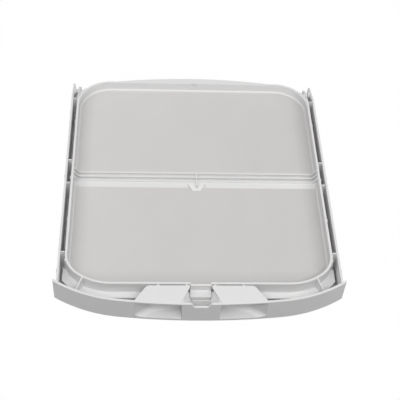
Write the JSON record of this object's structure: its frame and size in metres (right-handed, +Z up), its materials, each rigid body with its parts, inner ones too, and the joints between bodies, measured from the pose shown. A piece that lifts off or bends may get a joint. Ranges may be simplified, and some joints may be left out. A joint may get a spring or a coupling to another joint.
{
  "type": "tumble dryer lint filter",
  "caption": "Flat lint filter for a tumble dryer: a meshed casing with a bowed grip handle and a meshed leaf that swings open on a far-end hinge and shuts with a spring latch.",
  "frame": {"origin": "middle of the underside of the closed filter's box", "axes": "+Y from the handle to the hinge end, the way the filter slides in; +Z up, out of the leaf's tray; +X to the right seen from the handle"},
  "size_m": [0.3, 0.333, 0.029],
  "materials": {
    "frame_plastic": "fine satin moulded plastic, light grey",
    "filter_mesh": "fine woven polyester mesh, warm light grey"
  },
  "bodies": {
    "casing": {"casing_frame": "frame_plastic", "casing_mesh": "filter_mesh"},
    "leaf": {"leaf_frame": "frame_plastic", "leaf_mesh": "filter_mesh"}
  },
  "joints": [
    {"name": "leaf_hinge", "type": "hinge", "parent": "casing", "child": "leaf", "pos_m": [0, 0.151, 0.018], "axis": [-1, 0, 0], "range_deg": [0, 95]}
  ]
}
